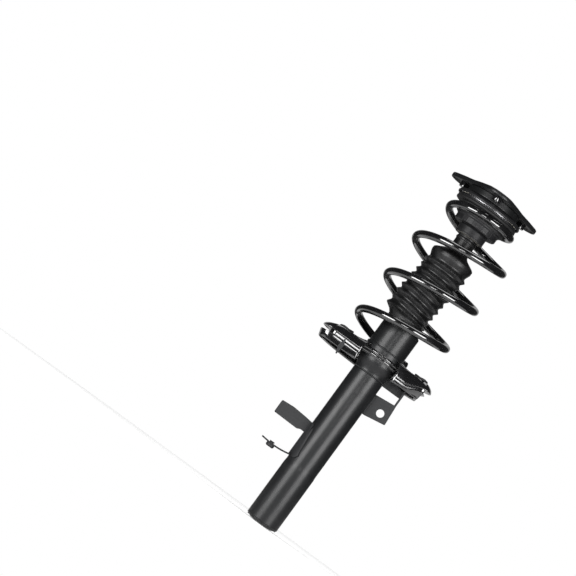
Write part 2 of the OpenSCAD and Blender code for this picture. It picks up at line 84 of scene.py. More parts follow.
def top(node):
    return box(node)[1].z


def radius(node):
    return (box(node)[1].y - box(node)[0].y) / 2


def around(r, a, z):
    """The point at a radius, an angle and a height."""
    return Vector((r * math.cos(a), r * math.sin(a), z))


MOUNTS = {m["name"]: m for m in frame["record"]["mounts"]}
STROKE = next(j for j in frame["joints"] if j["name"] == "damper_stroke")["range_m"][1]

CLAMP_R = MOUNTS["lower_tube"]["dims"]["r_mm"] * MM
CLAMP_LEN = MOUNTS["lower_tube"]["dims"]["length_mm"] * MM
WALL = 2.5 * MM
SHEET = 2.2 * MM
TUBE_R = radius("base_cup") + WALL
BODY_R = radius("reservoir_tube")
TUBE_TOP = top("reservoir_tube")
LINK_X, LINK_Y, LINK_Z = MOUNTS["link_hole"]["pos_m"]
LINK_R = MOUNTS["link_hole"]["dims"]["r_mm"] * MM
LINK_T = MOUNTS["link_hole"]["dims"]["length_mm"] * MM
BOLT_CIRCLE = MOUNTS["body_bolts"]["dims"]["pcd_mm"] * MM / 2
BOLT_R = MOUNTS["body_bolts"]["dims"]["hole_r_mm"] * MM
LOBES = [-90, 30, 150]
PILOT_R = BOLT_R + 2.5 * MM
STUD_R = 7 * MM

COLLAR_LOW, COLLAR_HIGH = foot("seat_collar"), top("seat_collar")
TRACK_Z = COLLAR_LOW + 13 * MM
SEAT_R = (box("lower_spring_seat")[1].x - box("lower_spring_seat")[0].x) / 2
SEAT_TRIM = -box("lower_spring_seat")[0].y
SEAT_TILT = math.radians(2)
FLARE_TOP = COLLAR_LOW - 1 * MM
NECK_Z = FLARE_TOP - 20 * MM

WIRE_R = 5.7 * MM
COIL_R = 66.5 * MM
COIL_TOP_R = 49 * MM
COIL_LEAN = math.radians(2.4)
WIRE_START, WIRE_END = 58, 1498          # degrees round the axis from one end to the other
CLIMB_START, CLIMB_END = 30, 1397
NARROW_START, NARROW_OVER = 1060, 200
WIRE_LOW = foot("coil_spring") + WIRE_R - 0.8 * MM
WIRE_HIGH = top("coil_spring") - WIRE_R

BOOT_LOW = foot("dust_boot")
STOP_CUP_LOW = foot("bump_stop_cup")
FOLDS_HIGH = STOP_CUP_LOW - 46 * MM


# Paint shop: shader maths written as sums

class Wire:
    """A node's output that adds the Math node it needs when it is used in a sum."""

    def __init__(self, paint, socket):
        self.paint = paint
        self.socket = socket

    def sum(self, operation, *values):
        return self.paint.node("ShaderNodeMath", {"operation": operation}, values)

    def __add__(self, other):
        return self.sum("ADD", self, other)

    def __sub__(self, other):
        return self.sum("SUBTRACT", self, other)

    def __rsub__(self, other):
        return self.sum("SUBTRACT", other, self)

    def __mul__(self, other):
        return self.sum("MULTIPLY", self, other)

    def __pow__(self, other):
        return self.sum("POWER", self, other)

    __radd__ = __add__
    __rmul__ = __mul__


class Paint:
    """One material: its Principled shader, and the nodes that feed it."""

    def __init__(self, name, colour, roughness, **constants):
        self.material = bpy.data.materials.new(name)
        self.material.use_nodes = True
        self.tree = self.material.node_tree
        self.shader = next(n for n in self.tree.nodes if n.type == "BSDF_PRINCIPLED")
        self.set(**{"Base Color": (*colour, 1), "Roughness": roughness}, **constants)
        self.material.diffuse_color = (*colour, 1)
        self.place = self.node("ShaderNodeTexCoord", out="Object")

    def plug(self, socket, value):
        if isinstance(value, Wire):
            self.tree.links.new(value.socket, socket)
        else:
            socket.default_value = value

    def node(self, kind, settings=None, values=(), out=0):
        made = self.tree.nodes.new(kind)
        for key, value in (settings or {}).items():
            if key == "stops":
                self.stops(made.color_ramp, value)
            else:
                setattr(made, key, value)
        pairs = values.items() if isinstance(values, dict) else enumerate(values)
        for key, value in pairs:
            self.plug(made.inputs[key], value)
        return Wire(self, made.outputs[out])

    def stops(self, ramp, stops):
        while len(ramp.elements) < len(stops):
            ramp.elements.new(0.5)
        for element, (place, shade) in zip(ramp.elements, stops):
            element.position = place
            element.color = (shade, shade, shade, 1)

    def set(self, **sockets):
        for name, value in sockets.items():
            self.plug(self.shader.inputs[name], value)

    def stretch(self, x, y, z):
        return self.node("ShaderNodeVectorMath", {"operation": "MULTIPLY"}, [self.place, (x, y, z)])

    def clouds(self, size, detail=3, roughness=0.55, where=None):
        """Soft noise from 0 to 1, whose blobs are about size metres across."""
        values = {"Vector": where or self.place, "Scale": 1 / size}
        values.update({"Detail": detail, "Roughness": roughness})
        return self.node("ShaderNodeTexNoise", None, values)

    def cells(self, size, where=None):
        """The distance to the nearest of many scattered points, about size metres apart."""
        values = {"Vector": where or self.place, "Scale": 1 / size}
        return self.node("ShaderNodeTexVoronoi", None, values, out="Distance")

    def ramp(self, factor, *stops):
        """A factor spread between stops, each a place and a shade."""
        return self.node("ShaderNodeValToRGB", {"stops": stops}, [factor])

    def between(self, factor, first, second):
        """A colour between two colours. The Mix node's colour sockets are numbers 6, 7 and, out, 2."""
        first, second = [(*c, 1) if isinstance(c, tuple) else c for c in (first, second)]
        return self.node("ShaderNodeMix", {"data_type": "RGBA"}, {0: factor, 6: first, 7: second}, out=2)

    def bump(self, height, distance, strength):
        values = {"Strength": strength, "Distance": distance, "Height": height}
        return self.node("ShaderNodeBump", None, values)

    def finish(self, colour, roughness, normal=None):
        self.set(**{"Base Color": colour, "Roughness": roughness})
        if normal:
            self.set(Normal=normal)
        return self.material


def satin_tube_paint():
    """Satin black paint on drawn tube: faint draw lines, orange peel and a few dusty scuffs."""
    p = Paint("satin_tube_paint", (0.006, 0.0062, 0.0066), 0.36)
    p.set(**{"Coat Weight": 0.05, "Coat Roughness": 0.3, "Specular IOR Level": 0.16})
    streaks = p.clouds(0.006, where=p.stretch(1, 1, 0.05))
    patches = p.clouds(0.045, detail=5)
    scuffs = p.ramp(p.clouds(0.012, detail=6, where=p.stretch(1, 1, 0.35)), (0.60, 0), (0.74, 1))
    peel = p.clouds(0.0016, detail=2)
    colour = p.between(patches * 0.8 + scuffs * 0.25, (0.0045, 0.0047, 0.005), (0.010, 0.0104, 0.011))
    rough = 0.25 + patches * 0.12 + streaks * 0.07 + scuffs * 0.14
    normal = p.bump(peel + streaks * 0.6, 0.00012, 0.5)
    return p.finish(colour, rough, normal)


def gloss_powder_coat():
    """Gloss black powder coat: deep, with a fine orange peel and a little dust."""
    p = Paint("gloss_powder_coat", (0.004, 0.004, 0.0042), 0.12)
    p.set(**{"Coat Weight": 0.6, "Coat Roughness": 0.05})
    peel = p.clouds(0.0022, detail=2)
    dust = p.ramp(p.clouds(0.018, detail=6), (0.52, 0), (0.78, 1))
    colour = p.between(dust, (0.0035, 0.0035, 0.0038), (0.008, 0.008, 0.0085))
    rough = 0.10 + dust * 0.12 + p.clouds(0.004) * 0.04
    return p.finish(colour, rough, p.bump(peel, 0.00005, 0.18))


def matte_bracket_coat():
    """Matte dark grey dip coat on stamped brackets: cloudy on the flats."""
    p = Paint("matte_bracket_coat", (0.014, 0.0145, 0.0155), 0.55)
    p.set(**{"Specular IOR Level": 0.2})
    clouds = p.clouds(0.020, detail=5)
    grain = p.clouds(0.0009, detail=2)
    runs = p.clouds(0.008, detail=3, where=p.stretch(1, 1, 0.3))
    colour = p.between(clouds, (0.006, 0.0063, 0.0068), (0.015, 0.0155, 0.0165))
    rough = 0.42 + clouds * 0.16 + runs * 0.10
    return p.finish(colour, rough, p.bump(grain * 0.6 + runs, 0.00010, 0.5))


def boot_rubber():
    """Moulded rubber of the boot: matte, with bloom in the folds and fine mould grain."""
    p = Paint("boot_rubber", (0.006, 0.006, 0.0062), 0.5)
    p.set(**{"Specular IOR Level": 0.26})
    bloom = p.ramp(p.clouds(0.016, detail=6), (0.45, 0), (0.75, 1))
    grain = p.clouds(0.0007, detail=3)
    colour = p.between(bloom, (0.004, 0.004, 0.0042), (0.013, 0.013, 0.0135))
    rough = 0.30 + bloom * 0.18 + grain * 0.06
    return p.finish(colour, rough, p.bump(grain, 0.00008, 0.5))


def isolator_rubber():
    """Harder rubber of the isolators and the mount: dull, speckled, a little dusty."""
    p = Paint("isolator_rubber", (0.018, 0.018, 0.019), 0.62)
    p.set(**{"Specular IOR Level": 0.2})
    specks = p.ramp(p.cells(0.0016), (0.10, 1), (0.22, 0))
    bloom = p.clouds(0.012, detail=5)
    colour = p.between(bloom * 0.8 + specks * 0.15, (0.006, 0.006, 0.0063), (0.018, 0.018, 0.0185))
    rough = 0.48 + bloom * 0.22
    return p.finish(colour, rough, p.bump(p.clouds(0.0006, detail=2) + specks * 0.4, 0.00009, 0.5))


def stop_foam():
    """Closed-cell foam of the bump stop: small open cells on a moulded skin."""
    p = Paint("stop_foam", (0.050, 0.047, 0.040), 0.8)
    cells = p.cells(0.0011)
    tone = p.clouds(0.010, detail=4)
    colour = p.between(tone, (0.035, 0.033, 0.028), (0.070, 0.066, 0.056))
    return p.finish(colour, 0.70 + tone * 0.15, p.bump(cells, 0.00025, 0.6))


def seat_plastic():
    """Glass-filled black plastic: fine spark grain and faint flow marks."""
    p = Paint("seat_plastic", (0.015, 0.015, 0.016), 0.42)
    p.set(**{"Specular IOR Level": 0.22})
    grain = p.clouds(0.0006, detail=2)
    flow = p.clouds(0.010, detail=4, where=p.stretch(1, 1, 2.5))
    colour = p.between(flow, (0.005, 0.005, 0.0054), (0.012, 0.012, 0.013))
    rough = 0.32 + flow * 0.16 + grain * 0.06
    return p.finish(colour, rough, p.bump(grain, 0.00007, 0.45))


def rod_chrome():
    """Hard chrome with the faint rings of its grinding."""
    p = Paint("rod_chrome", (0.60, 0.61, 0.63), 0.12, Metallic=1.0)
    rings = p.clouds(0.0011, detail=2, where=p.stretch(0.05, 0.05, 1))
    tone = p.clouds(0.020)
    colour = p.between(tone, (0.52, 0.53, 0.55), (0.68, 0.69, 0.71))
    return p.finish(colour, 0.08 + rings * 0.10, p.bump(rings, 0.00002, 0.3))


def zinc_plate():
    """Zinc plate on nuts and washers: bright grey, mottled, with a warm tint in places."""
    p = Paint("zinc_plate", (0.40, 0.41, 0.43), 0.34, Metallic=1.0)
    mottle = p.clouds(0.005, detail=5)
    tint = p.clouds(0.012, detail=2)
    cool = p.between(mottle, (0.30, 0.31, 0.33), (0.50, 0.51, 0.53))
    colour = p.between(tint * 0.35, cool, (0.46, 0.42, 0.33))
    return p.finish(colour, 0.24 + mottle * 0.22, p.bump(p.clouds(0.0008), 0.00004, 0.4))


def turned_steel(name, light, rough):
    """Turned or drawn steel: rings round the axis and a little oil."""
    p = Paint(name, (light, light, light * 1.03), rough, Metallic=1.0)
    rings = p.clouds(0.0008, detail=3, where=p.stretch(0.06, 0.06, 1))
    oil = p.clouds(0.010, detail=4)
    shade = (light * 0.75, light * 0.75, light * 0.78)
    colour = p.between(oil, shade, (light * 1.15, light * 1.15, light * 1.18))
    return p.finish(colour, rough - 0.06 + oil * 0.16, p.bump(rings, 0.00004, 0.5))


def cage_plastic():
    """Natural nylon of the bearing cage."""
    p = Paint("cage_plastic", (0.58, 0.56, 0.48), 0.5)
    tone = p.clouds(0.006, detail=3)
    colour = p.between(tone, (0.50, 0.48, 0.40), (0.66, 0.64, 0.56))
    return p.finish(colour, 0.40 + tone * 0.2, p.bump(p.clouds(0.0006), 0.00005, 0.4))


def bush_bronze():
    """Bronze lining of the rod guide's bush."""
    p = Paint("bush_bronze", (0.45, 0.31, 0.15), 0.35, Metallic=1.0)
    tone = p.cells(0.0009)
    colour = p.between(tone, (0.36, 0.24, 0.11), (0.54, 0.38, 0.20))
    return p.finish(colour, 0.28 + tone * 0.2, p.bump(tone, 0.00004, 0.4))


PAINTS = {
    "tube_paint": satin_tube_paint(),
    "gloss_coat": gloss_powder_coat(),
    "bracket_coat": matte_bracket_coat(),
    "boot_rubber": boot_rubber(),
    "isolator_rubber": isolator_rubber(),
    "stop_foam": stop_foam(),
    "seat_plastic": seat_plastic(),
    "rod_chrome": rod_chrome(),
    "zinc_steel": zinc_plate(),
    "bare_steel": turned_steel("bare_steel", 0.30, 0.38),
    "bearing_steel": turned_steel("bearing_steel", 0.52, 0.22),
    "cage_plastic": cage_plastic(),
    "bush_bronze": bush_bronze(),
}


# Workshop: ways to make a mesh

def piece(name, points, faces, finish, body, *nodes):
    """A smooth mesh piece that rides on a body and stands for the named CAD nodes."""
    mesh = bpy.data.meshes.new(name)
    mesh.from_pydata([tuple(p) for p in points], [], faces)
    made = bpy.data.objects.new(name, mesh)
    bpy.context.scene.collection.objects.link(made)
    work = bmesh.new()
    work.from_mesh(mesh)
    bmesh.ops.remove_doubles(work, verts=work.verts, dist=1e-6)
    bmesh.ops.recalc_face_normals(work, faces=work.faces)
    work.to_mesh(mesh)
    work.free()
    mesh.shade_smooth()
    mesh.materials.append(PAINTS[finish])
    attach(made, body)
    if nodes:
        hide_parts(*nodes)
    return made


def skin(rings, closed=True, capped=False):
    """Faces between rings of equally many points. The rings join into a loop, or are capped."""
    n = len(rings[0])
    points = [p for ring in rings for p in ring]
    faces = []
    last = len(rings) if closed else len(rings) - 1
    for k in range(last):
        a, b = k * n, (k + 1) % len(rings) * n
        faces += [(a + i, a + (i + 1) % n, b + (i + 1) % n, b + i) for i in range(n)]
    if capped:
        faces.append(tuple(reversed(range(n))))
        faces.append(tuple(range((len(rings) - 1) * n, len(rings) * n)))
    return points, faces


def eased(points, reach, closed=True, steps=4):
    """An outline with each corner rounded over reach, and a support point beside each curve."""
    out = []
    n = len(points)
    for i, corner in enumerate(points):
        corner = Vector(corner)
        if not closed and i in (0, n - 1):
            out.append(corner)
            continue
        before, after = Vector(points[i - 1]) - corner, Vector(points[(i + 1) % n]) - corner
        r = min(reach, before.length * 0.4, after.length * 0.4)
        start, end = corner + before.normalized() * r, corner + after.normalized() * r
        if before.length > 3.2 * r:
            out.append(corner + before.normalized() * r * 1.5)
        for k in range(steps + 1):
            t = k / steps
            out.append(start * (1 - t) ** 2 + corner * 2 * t * (1 - t) + end * t ** 2)
        if after.length > 3.2 * r:
            out.append(corner + after.normalized() * r * 1.5)
    return out


def turned(name, profile, finish, body, *nodes, reach=0.6 * MM, sides=160, closed=True, shape=None):
    """A turned piece: an outline of radius and height, spun round the axis.
    shape moves a point, given its place and its angle."""
    outline = eased([Vector((r, z)) for r, z in profile], reach, closed)
    rings = []
    for r, z in outline:
        r = max(r, 0)
        ring = []
        for i in range(sides):
            a = TURN * i / sides
            place = around(r, a, z)
            ring.append(shape(place, a) if shape else place)
        rings.append(ring)
    points, faces = skin(rings, closed)
    return piece(name, points, faces, finish, body, *nodes)


def tube_along(path, thickness, sides=12, closed=False):
    """A tube along a path; thickness gives its radius at each point."""
    rings = []
    n = len(path)
    up = Vector((0, 0, 1))
    for k, p in enumerate(path):
        ahead = path[(k + 1) % n] if closed else path[min(k + 1, n - 1)]
        behind = path[k - 1] if closed or k else path[0]
        way = (ahead - behind).normalized()
        side = way.cross(up)
        if side.length < 0.05:
            side = way.cross(Vector((1, 0, 0)))
        side.normalize()
        over = side.cross(way)
        r = thickness(k) if callable(thickness) else thickness
        rings.append([
            p + r * (math.cos(TURN * i / sides) * side + math.sin(TURN * i / sides) * over)
            for i in range(sides)
        ])
    return skin(rings, closed, capped=not closed)


def weld(name, path, size, body, closed=False, seed=0.0, finish="tube_paint"):
    """A painted weld bead: overlapping ripples of slightly uneven size."""
    lengths = [0.0]
    for a, b in zip(path, path[1:]):
        lengths.append(lengths[-1] + (b - a).length)

    def thickness(k):
        s = lengths[k]
        ripple = 0.10 * abs(math.sin(math.pi * s / (1.9 * MM)))
        wander = 0.14 * noise.noise(Vector((s * 130, seed, 0)))
        fade = 1 if closed else min(1, 0.35 + min(s, lengths[-1] - s) / (3 * MM))
        return size * (0.95 + ripple + wander) * fade

    points, faces = tube_along(path, thickness, sides=12, closed=closed)
    return piece(name, points, faces, finish, body)


def arc_path(r, z, start, end, step=0.45 * MM):
    """Points along a level arc from one angle to another, in degrees."""
    count = max(8, int(math.radians(abs(end - start)) * r / step))
    angles = [math.radians(start + (end - start) * k / count) for k in range(count + 1)]
    if abs(end - start) >= 360:
        angles = angles[:-1]
    return [around(r, a, z) for a in angles]


def straight_path(start, end, step=0.45 * MM):
    start, end = Vector(start), Vector(end)
    count = max(4, int((end - start).length / step))
    return [start.lerp(end, k / count) for k in range(count + 1)]


def bevelled(made, width=0.5 * MM, segments=3, angle=35):
    """Rounds a piece's sharp edges and keeps its flats flat."""
    rounding = made.modifiers.new("rounding", "BEVEL")
    rounding.width = width
    rounding.segments = segments
    rounding.limit_method = "ANGLE"
    rounding.angle_limit = math.radians(angle)
    rounding.harden_normals = True
    return made


def bored(made, *holes):
    """Drills round holes: each has a middle, a way and a radius."""
    for middle, way, r in holes:
        bpy.ops.mesh.primitive_cylinder_add(vertices=48, radius=r, depth=60 * MM, location=middle)
        drill = bpy.context.object
        drill.rotation_mode = "QUATERNION"
        drill.rotation_quaternion = Vector(way).to_track_quat("Z", "Y")
        cutting = made.modifiers.new("hole", "BOOLEAN")
        cutting.object = drill
        cutting.solver = "EXACT"
        settle(made)
        bpy.data.objects.remove(drill, do_unlink=True)
    return made


def settle(made):
    """Turns a piece's modifiers into its own mesh."""
    bpy.context.view_layer.update()
    ready = made.evaluated_get(bpy.context.evaluated_depsgraph_get())
    mesh = bpy.data.meshes.new_from_object(ready)
    made.modifiers.clear()
    made.data = mesh
    return made


def sheet_metal(name, outline, thickness, finish, body, *nodes, place=None, reach=0):
    """A flat blank cut to an outline in X and Z, thickness deep along Y, then placed."""
    flat = [Vector((x, z)) for x, z in outline]
    if reach:
        flat = eased(flat, reach)
    rings = [[Vector((p.x, y, p.y)) for p in flat] for y in (-thickness / 2, thickness / 2)]
    points, faces = skin(rings, closed=False, capped=True)
    if place:
        points = [place @ p for p in points]
    return piece(name, points, faces, finish, body, *nodes)


# Outer tube and its base

def outer_tube():
    """The drawn tube: its clamped end, the flare, the wide stretch and the rim rolled in on top."""
    low_in, high_in = TUBE_R - WALL, BODY_R - WALL
    roll_in = high_in - 6 * MM
    steps = 14
    flare = [(NECK_Z + (FLARE_TOP - NECK_Z) * k / steps, (1 - math.cos(math.pi * k / steps)) / 2)
             for k in range(steps + 1)]
    outside = [
        (CLAMP_R - 0.9 * MM, 0),
        (CLAMP_R, 0.9 * MM),
        (CLAMP_R, CLAMP_LEN - 1 * MM),
        (CLAMP_R - 0.15 * MM, CLAMP_LEN + 1 * MM),
        (TUBE_R + 0.1 * MM, CLAMP_LEN + 3.5 * MM),
        (TUBE_R, CLAMP_LEN + 6 * MM),
        (TUBE_R, NECK_Z - 2.2 * MM),
        (TUBE_R - 0.7 * MM, NECK_Z - 1.6 * MM),
        (TUBE_R - 0.7 * MM, NECK_Z - 0.8 * MM),
    ]
    outside += [(TUBE_R + (BODY_R - TUBE_R) * share, z) for z, share in flare]
    outside += [
        (BODY_R, TUBE_TOP - 3 * MM),
        (BODY_R - 0.7 * MM, TUBE_TOP - 1 * MM),
        (BODY_R - 2.6 * MM, TUBE_TOP),
        (roll_in, TUBE_TOP),
        (roll_in, TUBE_TOP - WALL),
        (high_in, TUBE_TOP - WALL),
    ]
    outside += [(low_in + (high_in - low_in) * share, z) for z, share in reversed(flare)]
    outside += [(low_in, 0)]
    turned("outer_tube", outside, "tube_paint", "strut", "reservoir_tube", reach=0.5 * MM, sides=192)


def base_dome():
    """The domed cup that closes the tube's lower end, and its weld."""
    dome, rim = foot("base_cup"), top("base_cup")
    r, floor = TUBE_R - WALL, 3 * MM
    outline = [
        (0, dome),
        (r * 0.55, dome),
        (r * 0.80, dome * 0.80),
        (r * 0.93, dome * 0.42),
        (r, -0.2 * MM),
        (r, rim),
        (r - 4 * MM, rim),
        (r - 4 * MM, floor),
        (0, floor),
    ]
    turned("base_dome", outline, "tube_paint", "strut", "base_cup", reach=1.6 * MM, closed=False)
    ring = arc_path(r + 0.5 * MM, -0.3 * MM, 0, 360)
    weld("base_weld", ring, 1.25 * MM, "strut", closed=True, seed=3.0)


def smooth(u):
    """An even step from 0 to 1 without corners."""
    u = min(1, max(0, u))
    return u * u * (3 - 2 * u)


# Lower spring seat

TILTED = Matrix.Translation((0, 0, TRACK_Z)) @ Matrix.Rotation(-SEAT_TILT, 4, "Y")
BAND_IN = 9 * MM
WALL_H = 7 * MM


def seat_height(r):
    """The height of the seat's upper skin above the track, away from its edge."""
    track_in, track_out = COIL_R - 10 * MM, COIL_R + 10 * MM
    if r < track_in:
        t = (r - BODY_R) / (track_in - BODY_R)
        return 5 * MM * (1 - t) ** 1.6
    if r < track_out:
        return 0.0
    t = min(1, (r - track_out) / (SEAT_R - track_out))
    return -5.5 * MM * t ** 1.5


def seat_edge(a):
    """How far the seat reaches at an angle: a circle, trimmed flat on the wheel's side."""
    down = -math.sin(a)
    if down <= 0:
        return SEAT_R
    flat = SEAT_TRIM / max(down, 1e-3)
    blend = 14
    return (SEAT_R ** -blend + flat ** -blend) ** (-1 / blend)


def band_foot(x):
    """The height of the dark rim band's lower edge, which rises towards the link's side."""
    left, middle, right = 281 * MM, 278 * MM, 288 * MM
    near = left + (middle - left) * smooth((x + 30 * MM) / (60 * MM))
    return near + (right - middle) * smooth((x - 48 * MM) / (28 * MM))


def skirt_foot(x):
    """The height of the skirt's lower edge."""
    return 263 * MM + 6 * MM * smooth((x + 30 * MM) / (80 * MM))


def seat_pan():
    """The stamped pan: its track, the rim band, the wall set in below it, and the skirt."""
    inner = BODY_R + 1.2 * MM
    gap = math.radians(44.5)
    start, end = -math.pi / 2 + gap, 1.5 * math.pi - gap
    count = 260
    rings = []
    for i in range(count + 1):
        a = start + (end - start) * i / count
        out = seat_edge(a) - 4 * MM * math.cos(a) * smooth((seat_edge(a) - 45 * MM) / (45 * MM))
        x = out * math.cos(a)
        drop = TRACK_Z + x * math.sin(SEAT_TILT)
        band, low = band_foot(x) - drop, skirt_foot(x) - drop
        upper = []
        for t in (0, 0.02, 0.10, 0.22, 0.36, 0.50, 0.62, 0.74, 0.84, 0.92, 1.0):
            r = inner + (out - BAND_IN - inner) * t
            upper.append((r, seat_height(r)))
        edge = upper[-1][1]
        for t in (0.15, 0.35, 0.6, 0.85, 1.0):
            share = t * 1.25 if t < 0.6 else 0.75 + (t - 0.6) * 0.625
            upper.append((out - BAND_IN + BAND_IN * share, edge - (edge - band) * t ** 1.3))
        wall = band - WALL_H
        deep = 1.3 * MM + 11 * MM * smooth((abs(math.cos(a)) * out / SEAT_R - 0.84) / 0.12)
        upper += [
            (out - 0.1 * MM, band - 0.4 * MM), (out - 0.5 * MM, band - 0.7 * MM),
            (out - deep + 0.2 * MM, band - 0.9 * MM), (out - deep, band - 1.4 * MM),
            (out - deep, (band + wall) / 2), (out - deep, wall + 0.5 * MM),
            (out - deep + 0.2 * MM, wall), (out - 0.4 * MM, wall - 0.3 * MM),
            (out - 0.3 * MM, wall - 0.8 * MM), (out - 2.6 * MM, low + 1.4 * MM),
            (out - 3.2 * MM, low + 0.3 * MM), (out - 3.8 * MM, low),
        ]
        lip = (deep + 0.2 * MM) * smooth((x + 10 * MM) / (60 * MM))
        upper[-6:] = [(r - lip * min(1, k / 2), z) for k, (r, z) in enumerate(upper[-6:])]
        under = []
        for k, (r, z) in enumerate(upper):
            before, after = upper[max(k - 1, 0)], upper[min(k + 1, len(upper) - 1)]
            way = Vector((after[0] - before[0], after[1] - before[1])).normalized()
            under.append((r + way.y * SHEET, z - way.x * SHEET))
        loop = upper + list(reversed(under))
        rings.append([TILTED @ around(r, a, z) for r, z in loop])
    points, faces = skin(rings, closed=False, capped=True)
    piece("seat_pan", points, faces, "gloss_coat", "strut", "lower_spring_seat")


def seat_neck():
    """The collar that joins the seat to the tube, with its two beads and the weld on top."""
    low, high, r = COLLAR_LOW, COLLAR_HIGH, BODY_R + 1.5 * MM
    beads = [
        (r - 0.2 * MM, low + 0.6 * MM), (r + 0.2 * MM, low + 2.2 * MM),
        (r + 1.1 * MM, low + 3.0 * MM), (r + 1.3 * MM, low + 4.0 * MM), (r + 1.1 * MM, low + 5.0 * MM),
        (r + 0.2 * MM, low + 6.2 * MM), (r + 1.1 * MM, low + 7.4 * MM),
        (r + 1.3 * MM, low + 8.4 * MM), (r + 1.1 * MM, low + 9.4 * MM),
        (r + 0.2 * MM, low + 10.6 * MM), (r - 0.2 * MM, low + 11.0 * MM),
    ]
    rim = [(BODY_R + 0.05 * MM, low + 11.0 * MM), (BODY_R + 0.05 * MM, low + 0.6 * MM)]
    turned("seat_beads", beads + rim, "gloss_coat", "strut", "seat_collar", reach=0.5 * MM)
    band = [
        (BODY_R + 0.02 * MM, low + 10.8 * MM), (r, low + 10.8 * MM), (r, high - 1 * MM),
        (r - 1 * MM, high), (BODY_R + 0.02 * MM, high),
    ]
    turned("seat_neck", band, "tube_paint", "strut", reach=0.4 * MM)
    weld("neck_weld", arc_path(BODY_R + 0.6 * MM, high, 0, 360), 1.2 * MM, "strut", closed=True, seed=7.0)


def seat_hook():
    """The small pointed clip on the seat's front."""
    low, high = box("seat_clip")
    middle = (low + high) / 2
    tall, wide = (high.z - low.z) / 2, (high.x - low.x) / 2
    outline = [
        (-0.25 * wide, tall), (0.35 * wide, tall), (0.95 * wide, 0.28 * tall),
        (0.30 * wide, -tall), (-0.15 * wide, -tall), (-0.95 * wide, 0.05 * tall),
    ]
    place = Matrix.Translation(middle) @ Matrix.Rotation(-SEAT_TILT, 4, "Y")
    hook = sheet_metal("seat_hook", outline, high.y - low.y, "bracket_coat", "strut", "seat_clip",
                       place=place, reach=1.2 * MM)
    bevelled(hook, 0.5 * MM)


def spring_pad():
    """The rubber pad under the spring's lowest turn, with a raised rim on each side."""
    inner, outer = COIL_R - 9 * MM, COIL_R + 9 * MM
    tall, rim = 2.8 * MM, 3 * MM
    section = eased([
        (inner, 0.05 * MM), (inner, tall), (inner + rim, tall),
        (COIL_R, tall - 0.6 * MM), (outer - rim, tall), (outer, tall), (outer, 0.05 * MM),
    ], 0.7 * MM)
    start, end = math.radians(-24), math.radians(204)
    count = 140
    rings = []
    for i in range(count + 1):
        a = start + (end - start) * i / count
        rings.append([TILTED @ around(r, a, z) for r, z in section])
    points, faces = skin(rings, closed=False, capped=True)
    piece("spring_pad", points, faces, "isolator_rubber", "strut", "lower_isolator")


# Brackets

def link_bracket():
    """The tab for the link, the web and the arm that tie it to the seat."""
    near, far = TUBE_R - 1 * MM, LINK_X + 12.5 * MM
    tab = sheet_metal("link_tab", [
        (near, LINK_Z - 15.5 * MM),
        (near + 4 * MM, LINK_Z - 15.5 * MM),
        (LINK_X + 15 * MM, LINK_Z - 10 * MM),
        (far, LINK_Z + 21.5 * MM),
        (near, LINK_Z + 18 * MM),
    ], LINK_T, "bracket_coat", "strut", "link_bracket", reach=1.5 * MM)
    bored(tab, ((LINK_X, 0, LINK_Z), (0, 1, 0), LINK_R))
    bevelled(tab, 0.5 * MM)
    across = Matrix.Translation((LINK_X + 11 * MM, LINK_T / 2 + 7.9 * MM, 0))
    web = sheet_metal("link_web", [
        (-8 * MM, LINK_Z + 12 * MM),
        (8.6 * MM, LINK_Z + 24 * MM),
        (8.6 * MM, LINK_Z + 50 * MM),
        (-8 * MM, LINK_Z + 50 * MM),
    ], 3 * MM, "bracket_coat", "strut", reach=2 * MM, place=across @ Matrix.Rotation(math.pi / 2, 4, "Z"))
    bevelled(web, 0.5 * MM)
    root = TUBE_R * 0.8
    arm = sheet_metal("link_arm", [
        (root, LINK_Z + 34 * MM),
        (far, LINK_Z + 34 * MM),
        (far, LINK_Z + 44 * MM),
        (LINK_X - 8 * MM, LINK_Z + 48 * MM),
        (root, LINK_Z + 48 * MM),
    ], LINK_T, "bracket_coat", "strut", reach=2 * MM,
        place=Matrix.Translation((0, LINK_T / 2 + 14 * MM, 0)))
    bevelled(arm, 0.5 * MM)
    for side, number in ((-1, 11), (1, 13)):
        y = side * (LINK_T / 2 + 0.5 * MM)
        x = math.sqrt(TUBE_R ** 2 - y ** 2) + 0.4 * MM
        path = straight_path((x, y, LINK_Z - 14.5 * MM), (x, y, LINK_Z + 17 * MM))
        weld(f"link_weld_{number}", path, 1.5 * MM, "strut", seed=number, finish="bracket_coat")


def hose_saddle(low, high):
    """The part of the hose bracket that wraps the tube, narrower below."""
    turn_in, steps, sides = 0.06, 28, 24
    inside, outside = TUBE_R + 0.05 * MM, TUBE_R + SHEET
    rings = []
    for k in range(steps + 1):
        t = k / steps
        z = low + (high - low) * t
        wrap = math.radians(62 - 30 * t) if t > 0.12 else math.radians(50 + 12 * t / 0.12)
        angles = [math.pi - turn_in + (wrap + turn_in) * i / sides for i in range(sides + 1)]
        ring = [around(outside, a, z) for a in angles] + [around(inside, a, z) for a in reversed(angles)]
        rings.append(ring)
    points, faces = skin(rings, closed=False, capped=True)
    saddle = piece("hose_saddle", points, faces, "bracket_coat", "strut", "hose_bracket")
    bevelled(saddle, 0.5 * MM, 2, 50)


